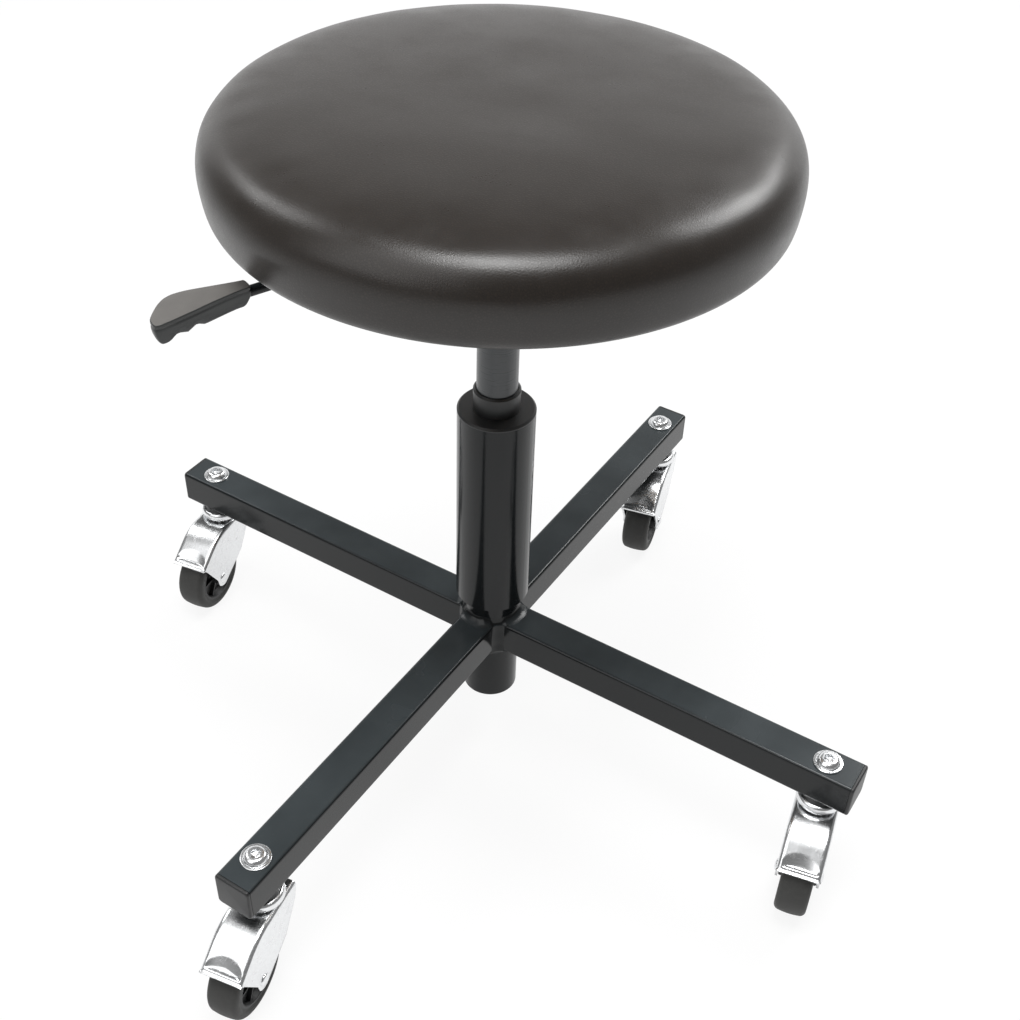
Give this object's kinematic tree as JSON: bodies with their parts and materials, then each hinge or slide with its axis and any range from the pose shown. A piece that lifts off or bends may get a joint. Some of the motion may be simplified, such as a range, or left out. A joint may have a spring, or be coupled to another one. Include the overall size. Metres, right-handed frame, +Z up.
{
  "type": "creeper seat",
  "caption": "Round padded workshop seat on a gas lift, over a crossed square-tube base with swivel casters and a paddle under the seat.",
  "frame": {"origin": "the point on the floor under the column's axis", "axes": "+Z up the column, +X along one arm, +Y along the next arm anticlockwise"},
  "size_m": [0.5556, 0.5875, 0.4827],
  "materials": {
    "black_paint": "satin",
    "black_plastic": "satin",
    "dark_zinc": "satin",
    "bright_zinc": "bright zinc",
    "spacer_black": "satin",
    "plain_steel": "plain",
    "chromed_rod": "polished",
    "bumper_rubber": "matte",
    "tyre": "matte",
    "wheel_plastic": "satin",
    "vinyl": "fine grained vinyl",
    "foam": "matte",
    "plywood": "raw"
  },
  "bodies": {
    "base": {"base_hub": "black_paint", "base_arm_right": "black_paint", "base_arm_rear": "black_paint", "base_arm_left": "black_paint", "base_arm_front": "black_paint", "arm_end_plugs": "black_plastic", "weld_beads": "black_paint", "column_tube": "black_paint", "column_rings": "plain_steel", "guide_bush": "black_plastic", "foot_plate": "plain_steel", "lower_race": "plain_steel", "bearing_balls": "plain_steel", "caster_bolts": "bright_zinc", "caster_spacers": "spacer_black", "swivel_cups": "bright_zinc", "swivel_ball_rings": "plain_steel", "caster_washers": "bright_zinc", "caster_nuts": "bright_zinc"},
    "lift_rod": {"piston_rod": "chromed_rod", "piston": "plain_steel", "rod_clip": "plain_steel", "upper_race": "plain_steel", "rubber_bumper": "bumper_rubber"},
    "seat": {"gas_cylinder": "dark_zinc", "rod_guide": "black_plastic", "cylinder_socket": "black_paint", "seat_plate": "black_paint", "seat_bolts": "bright_zinc", "tee_nuts": "bright_zinc", "seat_board": "plywood", "foam_pad": "foam", "vinyl_cover": "vinyl", "cover_staples": "bright_zinc", "lever_pivot_pin": "plain_steel"},
    "lever": {"lever_rod": "black_paint", "lever_paddle": "black_plastic"},
    "button": {"release_button": "bright_zinc"},
    "caster_right": {"caster_hood_right": "bright_zinc", "caster_axle_right": "plain_steel"},
    "wheel_right": {"wheel_tyre_right": "tyre", "wheel_core_right": "wheel_plastic"},
    "caster_rear": {"caster_hood_rear": "bright_zinc", "caster_axle_rear": "plain_steel"},
    "wheel_rear": {"wheel_tyre_rear": "tyre", "wheel_core_rear": "wheel_plastic"},
    "caster_left": {"caster_hood_left": "bright_zinc", "caster_axle_left": "plain_steel"},
    "wheel_left": {"wheel_tyre_left": "tyre", "wheel_core_left": "wheel_plastic"},
    "caster_front": {"caster_hood_front": "bright_zinc", "caster_axle_front": "plain_steel"},
    "wheel_front": {"wheel_tyre_front": "tyre", "wheel_core_front": "wheel_plastic"}
  },
  "joints": [
    {"name": "seat_swivel", "type": "hinge", "parent": "base", "child": "lift_rod", "pos_m": [0, 0, 0.04], "axis": [0, 0, 1], "continuous": true},
    {"name": "seat_lift", "type": "slide", "parent": "lift_rod", "child": "seat", "axis": [0, 0, 1], "range_m": [-0.1, 0]},
    {"name": "lever_lift", "type": "hinge", "parent": "seat", "child": "lever", "pos_m": [-0.01954, -0.04603, 0.4155], "axis": [-0.9205, 0.3907, 0], "range_deg": [0, 4], "stiffness_Nm_per_rad": 2, "springref_deg": -2.86},
    {"name": "button_press", "type": "slide", "parent": "seat", "child": "button", "axis": [0, 0, -1], "range_m": [0, 0.0035], "stiffness_N_per_m": 200, "springref_m": -0.005},
    {"name": "caster_swivel_right", "type": "hinge", "parent": "base", "child": "caster_right", "pos_m": [0.254, 0, 0.07], "axis": [0, 0, 1], "continuous": true},
    {"name": "wheel_roll_right", "type": "hinge", "parent": "caster_right", "child": "wheel_right", "pos_m": [0.25993, -0.02788, 0.028], "axis": [0.9781, 0.2079, 0], "continuous": true},
    {"name": "caster_swivel_rear", "type": "hinge", "parent": "base", "child": "caster_rear", "pos_m": [0, 0.254, 0.07], "axis": [0, 0, 1], "continuous": true},
    {"name": "wheel_roll_rear", "type": "hinge", "parent": "caster_rear", "child": "wheel_rear", "pos_m": [0.00641, 0.22623, 0.028], "axis": [0.9744, 0.225, 0], "continuous": true},
    {"name": "caster_swivel_left", "type": "hinge", "parent": "base", "child": "caster_left", "pos_m": [-0.254, 0, 0.07], "axis": [0, 0, 1], "continuous": true},
    {"name": "wheel_roll_left", "type": "hinge", "parent": "caster_left", "child": "wheel_left", "pos_m": [-0.24954, -0.02815, 0.028], "axis": [0.9877, 0.1564, 0], "continuous": true},
    {"name": "caster_swivel_front", "type": "hinge", "parent": "base", "child": "caster_front", "pos_m": [0, -0.254, 0.07], "axis": [0, 0, 1], "continuous": true},
    {"name": "wheel_roll_front", "type": "hinge", "parent": "caster_front", "child": "wheel_front", "pos_m": [0.00495, -0.28207, 0.028], "axis": [0.9848, 0.1736, 0], "continuous": true}
  ],
  "couplings": [
    {"joint": "button_press", "follows": "lever_lift", "m_per_rad": 0.05}
  ]
}
